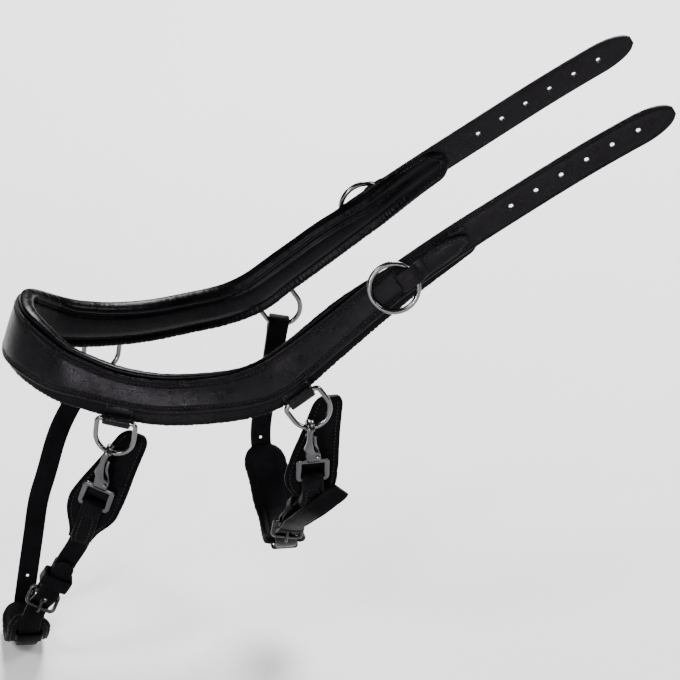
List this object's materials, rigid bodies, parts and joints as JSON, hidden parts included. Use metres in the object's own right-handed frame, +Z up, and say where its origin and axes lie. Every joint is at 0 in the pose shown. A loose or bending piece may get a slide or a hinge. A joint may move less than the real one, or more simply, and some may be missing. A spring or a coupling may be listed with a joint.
{
  "type": "padded noseband",
  "caption": "Padded leather noseband with round cheek rings and two lower straps, each with a snap hook, a buckle and a chin pad.",
  "frame": {"origin": "nose seat: middle of the front, on the padding's inner face", "axes": "+Z up, +X to the horse's near (left) side, -Y to the horse's nose"},
  "size_m": [0.1689, 0.4157, 0.3652],
  "materials": {
    "black_leather": "satin, waxed",
    "soft_lining": "soft, padded",
    "polished_steel": "polished"
  },
  "bodies": {
    "band": {"main_strap": "black_leather", "padding": "soft_lining", "d_loop_front_left": "black_leather", "d_loop_front_right": "black_leather", "d_loop_rear_left": "black_leather", "d_loop_rear_right": "black_leather", "ring_tab_left": "black_leather", "ring_tab_right": "black_leather"},
    "d_ring_front_left": {"d_ring_front_left": "polished_steel"},
    "d_ring_front_right": {"d_ring_front_right": "polished_steel"},
    "d_ring_rear_left": {"d_ring_rear_left": "polished_steel"},
    "d_ring_rear_right": {"d_ring_rear_right": "polished_steel"},
    "cheek_ring_left": {"cheek_ring_left": "polished_steel"},
    "cheek_ring_right": {"cheek_ring_right": "polished_steel"},
    "front_loop": {"front_snap_strap": "black_leather", "front_guard": "black_leather", "front_billet": "black_leather", "front_buckle": "polished_steel", "front_snap": "polished_steel", "front_snap_rivet": "polished_steel"},
    "front_snap_lever": {"front_snap_lever": "polished_steel"},
    "front_tongue": {"front_tongue": "polished_steel"},
    "front_keeper": {"front_keeper": "black_leather"},
    "front_chin_pad": {"front_chin_pad": "soft_lining"},
    "rear_loop": {"rear_snap_strap": "black_leather", "rear_guard": "black_leather", "rear_billet": "black_leather", "rear_buckle": "polished_steel", "rear_snap": "polished_steel", "rear_snap_rivet": "polished_steel"},
    "rear_snap_lever": {"rear_snap_lever": "polished_steel"},
    "rear_tongue": {"rear_tongue": "polished_steel"},
    "rear_keeper": {"rear_keeper": "black_leather"},
    "rear_chin_pad": {"rear_chin_pad": "soft_lining"}
  },
  "joints": [
    {"name": "d_ring_front_left_hinge", "type": "hinge", "parent": "band", "child": "d_ring_front_left", "pos_m": [0.0625, 0.0501, -0.0352], "axis": [0.3155, 0.9379, -0.1442], "range_deg": [-1.5, 1.5]},
    {"name": "d_ring_front_right_hinge", "type": "hinge", "parent": "band", "child": "d_ring_front_right", "pos_m": [-0.0625, 0.0501, -0.0352], "axis": [-0.3155, 0.9379, -0.1442], "range_deg": [-1.5, 1.5]},
    {"name": "d_ring_rear_left_hinge", "type": "hinge", "parent": "band", "child": "d_ring_rear_left", "pos_m": [0.0789, 0.1612, -0.0199], "axis": [-0.0397, 0.8343, 0.5499], "range_deg": [-1.5, 1.5]},
    {"name": "d_ring_rear_right_hinge", "type": "hinge", "parent": "band", "child": "d_ring_rear_right", "pos_m": [-0.0789, 0.1612, -0.0199], "axis": [0.0397, 0.8343, 0.5499], "range_deg": [-1.5, 1.5]},
    {"name": "cheek_ring_left_hinge", "type": "hinge", "parent": "band", "child": "cheek_ring_left", "pos_m": [0.06881, 0.2319, 0.05244], "axis": [-0.2099, -0.5712, 0.7935], "range_deg": [0, 150]},
    {"name": "cheek_ring_right_hinge", "type": "hinge", "parent": "band", "child": "cheek_ring_right", "pos_m": [-0.06881, 0.2319, 0.05244], "axis": [-0.2099, 0.5712, -0.7935], "range_deg": [0, 150]},
    {"name": "front_loop_swing", "type": "hinge", "parent": "band", "child": "front_loop", "pos_m": [0, 0.04875, -0.0453], "axis": [1, 0, 0], "range_deg": [-8, 8]},
    {"name": "front_lever_hinge", "type": "hinge", "parent": "front_loop", "child": "front_snap_lever", "pos_m": [0.06, 0.042, -0.0787], "axis": [-0.9526, 0.2997, -0.0522], "range_deg": [0, 20], "stiffness_Nm_per_rad": 0.03, "springref_deg": -11.46},
    {"name": "front_tongue_hinge", "type": "hinge", "parent": "front_loop", "child": "front_tongue", "pos_m": [0.0405, 0.0036, -0.1596], "axis": [0, -0.8475, 0.5307], "range_deg": [0, 6]},
    {"name": "front_keeper_slide", "type": "slide", "parent": "front_loop", "child": "front_keeper", "axis": [-0.1476, -0.5315, -0.8341], "range_m": [-0.002, 0]},
    {"name": "front_pad_slide", "type": "hinge", "parent": "front_loop", "child": "front_chin_pad", "pos_m": [0, -0.006, -0.1715], "axis": [0, 1, 0], "range_deg": [-3, 3]},
    {"name": "rear_loop_swing", "type": "hinge", "parent": "band", "child": "rear_loop", "pos_m": [0, 0.1668, -0.0285], "axis": [1, 0, 0], "range_deg": [-8, 8]},
    {"name": "rear_lever_hinge", "type": "hinge", "parent": "rear_loop", "child": "rear_snap_lever", "pos_m": [0.074, 0.1711, -0.0616], "axis": [-0.9916, -0.0478, 0.1201], "range_deg": [0, 20], "stiffness_Nm_per_rad": 0.03, "springref_deg": -11.46},
    {"name": "rear_tongue_hinge", "type": "hinge", "parent": "rear_loop", "child": "rear_tongue", "pos_m": [0.0395, 0.1572, -0.1232], "axis": [0.0753, -0.9727, 0.2194], "range_deg": [0, 6]},
    {"name": "rear_keeper_slide", "type": "slide", "parent": "rear_loop", "child": "rear_keeper", "axis": [-0.585, -0.382, -0.7154], "range_m": [-0.002, 0.001]},
    {"name": "rear_pad_slide", "type": "hinge", "parent": "rear_loop", "child": "rear_chin_pad", "pos_m": [0, 0.155, -0.1145], "axis": [0, 1, 0], "range_deg": [-0.4, 1.5]}
  ]
}
